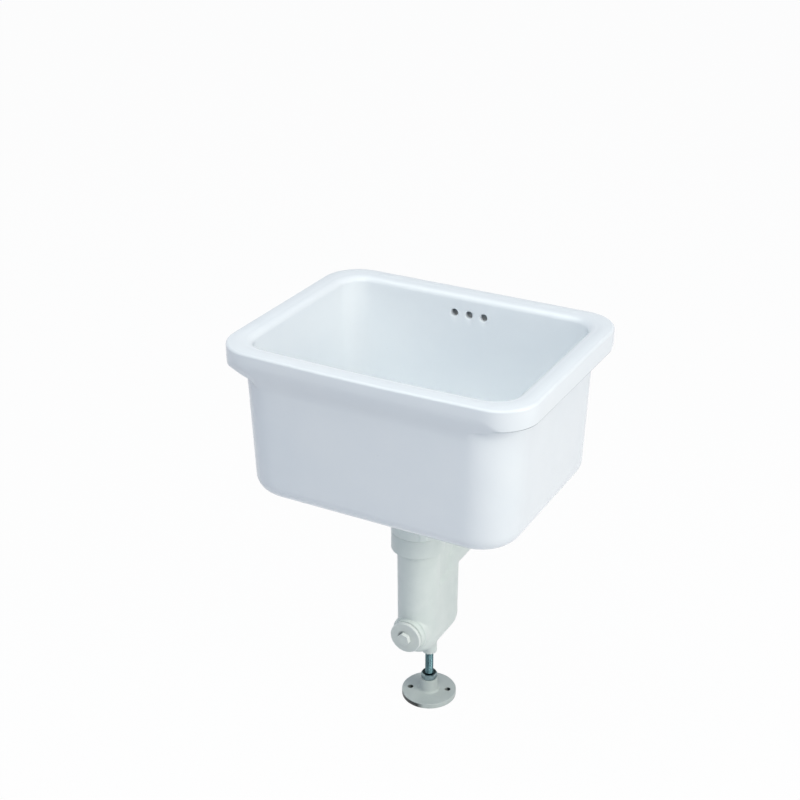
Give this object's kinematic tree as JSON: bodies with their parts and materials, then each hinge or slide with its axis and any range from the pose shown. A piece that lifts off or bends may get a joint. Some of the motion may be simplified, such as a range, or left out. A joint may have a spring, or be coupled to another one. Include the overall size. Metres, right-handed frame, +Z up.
{
  "type": "mop sink",
  "caption": "Wall-hung ceramic mop sink with a rolled rim, overflow holes, lift-out strainer, cast trap with a screwed cleanout plug, and a screw-adjusted foot.",
  "frame": {"origin": "centre of the rectangle of wall screws, on the wall plane behind the basin", "axes": "+Z up, +Y out of the hangers' backs into the wall, so the basin's front faces -Y; +X to the right seen from the front"},
  "size_m": [0.455, 0.3605, 0.6243],
  "materials": {
    "china": "smooth white glaze",
    "hanger_steel": "white enamel",
    "strainer_steel": "polished",
    "plated_brass": "polished plate over brass",
    "rubber": "black sealing rubber",
    "zinc": "bright zinc plate",
    "brass": "turned",
    "trap_paint": "thick satin enamel over the casting",
    "trap_cast": "thick satin enamel over cast iron"
  },
  "bodies": {
    "sink": {"basin": "china", "hanger_left": "hanger_steel", "hanger_right": "hanger_steel", "waste_body": "plated_brass", "upper_ring": "rubber", "lower_ring": "rubber", "waste_washer": "zinc", "back_nut": "plated_brass", "tail_seal": "rubber", "tail_pipe": "plated_brass", "gland_packing": "rubber", "trap_body": "trap_cast"},
    "strainer": {"strainer": "strainer_steel"},
    "gland_washer": {"gland_ring": "brass"},
    "gland": {"gland_nut": "trap_paint"},
    "plug_washer": {"cleanout_ring": "rubber"},
    "plug": {"cleanout_plug": "trap_paint"},
    "foot": {"foot_flange": "trap_cast"},
    "foot_screw": {"foot_screw": "zinc", "foot_nut": "zinc"}
  },
  "joints": [
    {"name": "strainer_lift", "type": "slide", "parent": "sink", "child": "strainer", "axis": [0, 0, 1], "range_m": [0, 0.24]},
    {"name": "gland_rise", "type": "slide", "parent": "sink", "child": "gland_washer", "axis": [0, 0, 1], "range_m": [0, 0.016]},
    {"name": "gland_turn", "type": "hinge", "parent": "gland_washer", "child": "gland", "pos_m": [0, -0.1875, -0.22], "axis": [0, 0, 1], "range_deg": [0, 2490]},
    {"name": "plug_out", "type": "slide", "parent": "sink", "child": "plug_washer", "axis": [0, -1, 0], "range_m": [0, 0.016]},
    {"name": "plug_turn", "type": "hinge", "parent": "plug_washer", "child": "plug", "pos_m": [0, -0.223, -0.398], "axis": [0, -1, 0], "range_deg": [0, 2490]},
    {"name": "foot_height", "type": "slide", "parent": "sink", "child": "foot", "axis": [0, 0, -1], "range_m": [-0.01, 0.008]},
    {"name": "screw_turn", "type": "hinge", "parent": "foot", "child": "foot_screw", "pos_m": [0, -0.1475, -0.5], "axis": [0, 0, -1], "range_deg": [-1700, 1360]}
  ],
  "couplings": [
    {"joint": "gland_rise", "follows": "gland_turn", "m_per_rad": 0.0003675},
    {"joint": "plug_out", "follows": "plug_turn", "m_per_rad": 0.0003675},
    {"joint": "foot_height", "follows": "screw_turn", "m_per_rad": 0.0003369}
  ]
}
